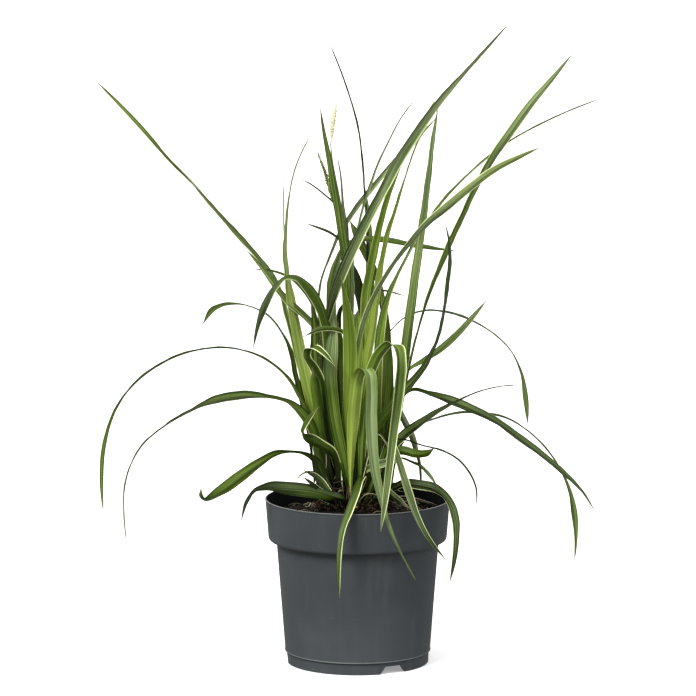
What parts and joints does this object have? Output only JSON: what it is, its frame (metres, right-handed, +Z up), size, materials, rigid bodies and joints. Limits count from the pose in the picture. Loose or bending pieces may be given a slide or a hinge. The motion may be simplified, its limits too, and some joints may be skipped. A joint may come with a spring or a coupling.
{
  "type": "potted ornamental grass",
  "caption": "Clump of variegated ornamental grass with arching, cream-edged leaves and fine flower spikes in a round plastic nursery pot.",
  "frame": {"origin": "on the pot's axis, at the centre of the pad under its base, level with the surface it stands on", "axes": "+Z up along the pot's axis; -Y towards the front, the side that the picture shows; +X to the right as seen from the front"},
  "size_m": [0.5188, 0.3436, 0.6593],
  "materials": {
    "pot_plastic": "satin",
    "potting_soil": "matte",
    "crown_fibre": "matte",
    "leaf": "satin",
    "flower_spike": "matte"
  },
  "bodies": {
    "root": {"crown": "crown_fibre", "leaf_arch_right": "leaf", "leaf_back_arch_left": "leaf", "leaf_back_arch_mid": "leaf", "leaf_back_arch_right": "leaf", "leaf_back_drop": "leaf", "leaf_back_low_left": "leaf", "leaf_back_low_mid": "leaf", "leaf_back_low_right": "leaf", "leaf_back_tall": "leaf", "leaf_centre_bright": "leaf", "leaf_centre_left_tall": "leaf", "leaf_centre_right_tall": "leaf", "leaf_crossing_left": "leaf", "leaf_crossing_right": "leaf", "leaf_dark_arc": "leaf", "leaf_dark_right": "leaf", "leaf_dark_wide_back": "leaf", "leaf_fold_low_left": "leaf", "leaf_fold_mid_left": "leaf", "leaf_front_centre_rim": "leaf", "leaf_front_fold_centre": "leaf", "leaf_front_fold_right": "leaf", "leaf_front_right_rim": "leaf", "leaf_kinked": "leaf", "leaf_leaning_left": "leaf", "leaf_left_arch": "leaf", "leaf_left_big_arc": "leaf", "leaf_left_hook": "leaf", "leaf_left_light": "leaf", "leaf_left_long": "leaf", "leaf_left_parallel": "leaf", "leaf_left_rim": "leaf", "leaf_left_second_arc": "leaf", "leaf_left_short": "leaf", "leaf_left_short_light": "leaf", "leaf_left_thin_arch": "leaf", "leaf_left_wide_low": "leaf", "leaf_light_strip": "leaf", "leaf_right_high_arc": "leaf", "leaf_right_hook": "leaf", "leaf_right_long_arc": "leaf", "leaf_right_mid": "leaf", "leaf_right_rim": "leaf", "leaf_right_rise": "leaf", "leaf_right_second_arc": "leaf", "leaf_right_thin_drop": "leaf", "leaf_right_thin_low": "leaf", "leaf_small_level": "leaf", "leaf_soil_right": "leaf", "leaf_tall_far_right": "leaf", "leaf_tall_light": "leaf", "leaf_tall_right": "leaf", "leaf_thin_dark_arch": "leaf", "leaf_thin_far_right": "leaf", "leaf_thin_right": "leaf", "pot": "pot_plastic", "soil": "potting_soil", "spike_cream": "flower_spike", "spike_green": "flower_spike"}
  },
  "joints": []
}
